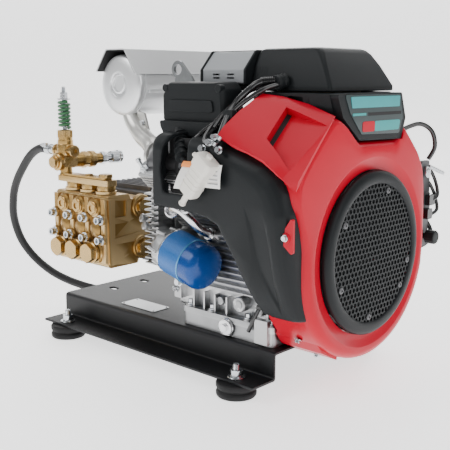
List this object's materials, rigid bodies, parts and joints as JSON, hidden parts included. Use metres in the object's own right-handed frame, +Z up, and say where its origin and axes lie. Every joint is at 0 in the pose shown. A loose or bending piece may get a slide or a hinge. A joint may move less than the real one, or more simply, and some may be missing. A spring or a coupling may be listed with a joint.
{
  "type": "engine-driven pressure washer pump unit",
  "caption": "V-twin petrol engine driving a triplex brass plunger pump with unloader valve and bypass hose, on a folded steel skid with round rubber feet.",
  "frame": {"origin": "middle of the whole unit's footprint on the floor under the rubber feet, free hose left out", "axes": "+X along the crankshaft from the pump towards the cooling fan, +Y away from the pump manifold and oil filter side, +Z up"},
  "size_m": [0.7943, 0.455, 0.528],
  "materials": {
    "black_steel": "satin",
    "rubber": "matte",
    "cast_aluminium": "cast",
    "steel": "machined",
    "red_paint": "gloss",
    "black_plastic": "satin",
    "grey_plastic": "satin",
    "filter_element": "matte",
    "aluminised_steel": "satin",
    "zinc": "zinc plated",
    "blue_paint": "gloss",
    "white_plastic": "satin",
    "pump_black": "satin",
    "brass": "cast and machined",
    "ceramic": "polished ceramic",
    "green_paint": "gloss"
  },
  "bodies": {
    "frame": {"base_frame": "black_steel", "foot_front_left": "rubber", "foot_front_right": "rubber", "foot_rear_left": "rubber", "foot_rear_right": "rubber", "engine_crankcase": "cast_aluminium", "output_cover": "cast_aluminium", "cylinder_near": "cast_aluminium", "cylinder_far": "cast_aluminium", "cylinder_head_near": "cast_aluminium", "cylinder_head_far": "cast_aluminium", "head_cover_near": "black_plastic", "head_cover_far": "black_plastic", "fan_housing": "red_paint", "fan_grille": "black_plastic", "air_duct_near": "black_plastic", "air_duct_far": "black_plastic", "carburettor": "cast_aluminium", "breather_cover": "black_plastic", "louvre_panel": "grey_plastic", "air_cleaner_base": "black_plastic", "air_cleaner_cover": "black_plastic", "air_filter_element": "filter_element", "muffler": "aluminised_steel", "heat_shield": "aluminised_steel", "lifting_eye": "zinc", "oil_filter": "blue_paint", "drain_plug": "zinc", "fuel_filter": "white_plastic", "wiring_loom": "black_plastic", "starter_motor": "black_steel", "control_bracket": "black_steel", "pump_crankcase": "pump_black", "pump_rear_cover": "cast_aluminium", "pump_adapter": "cast_aluminium", "pump_manifold": "brass", "inlet_valve_cap_1": "brass", "inlet_valve_cap_2": "brass", "inlet_valve_cap_3": "brass", "outlet_valve_cap_1": "brass", "outlet_valve_cap_2": "brass", "outlet_valve_cap_3": "brass", "unloader_valve": "brass", "bypass_barb": "zinc", "unloader_spring": "green_paint", "quick_coupler": "zinc", "return_fitting": "brass", "bypass_hose": "rubber"},
    "crank": {"engine_crankshaft": "steel", "flywheel_fan": "cast_aluminium", "pump_crankshaft": "steel"},
    "piston_near": {"piston_near": "steel"},
    "piston_far": {"piston_far": "steel"},
    "plunger_1": {"plunger_1": "ceramic"},
    "plunger_2": {"plunger_2": "ceramic"},
    "plunger_3": {"plunger_3": "ceramic"},
    "unloader_stem": {"unloader_stem": "steel"},
    "coupler_sleeve": {"coupler_sleeve": "zinc"},
    "throttle_lever": {"throttle_lever": "zinc"},
    "choke_knob": {"choke_knob": "black_plastic"}
  },
  "joints": [
    {"name": "crank_spin", "type": "hinge", "parent": "frame", "child": "crank", "pos_m": [0, 0.0135, 0.218], "axis": [1, 0, 0], "continuous": true},
    {"name": "piston_near_slide", "type": "slide", "parent": "frame", "child": "piston_near", "axis": [0, -0.7071, 0.7071], "range_m": [-0.03, 0.035]},
    {"name": "piston_far_slide", "type": "slide", "parent": "frame", "child": "piston_far", "axis": [0, 0.7071, 0.7071], "range_m": [-0.03, 0.035]},
    {"name": "plunger_1_slide", "type": "slide", "parent": "frame", "child": "plunger_1", "axis": [0, -1, 0], "range_m": [-0.014, 0]},
    {"name": "plunger_2_slide", "type": "slide", "parent": "frame", "child": "plunger_2", "axis": [0, -1, 0], "range_m": [-0.0035, 0.0105]},
    {"name": "plunger_3_slide", "type": "slide", "parent": "frame", "child": "plunger_3", "axis": [0, -1, 0], "range_m": [-0.0035, 0.0105]},
    {"name": "unloader_stem_slide", "type": "slide", "parent": "frame", "child": "unloader_stem", "axis": [0, 0, 1], "range_m": [-0.006, 0], "stiffness_N_per_m": 8000, "deforming": ["unloader_spring"]},
    {"name": "coupler_sleeve_slide", "type": "slide", "parent": "frame", "child": "coupler_sleeve", "axis": [0, -1, 0], "range_m": [0, 0.004], "stiffness_N_per_m": 1500},
    {"name": "throttle_pivot", "type": "hinge", "parent": "frame", "child": "throttle_lever", "pos_m": [0.28, 0.2035, 0.322], "axis": [1, 0, 0], "range_deg": [-25, 25]},
    {"name": "choke_pull", "type": "slide", "parent": "frame", "child": "choke_knob", "axis": [1, 0, 0], "range_m": [0, 0.012]}
  ]
}
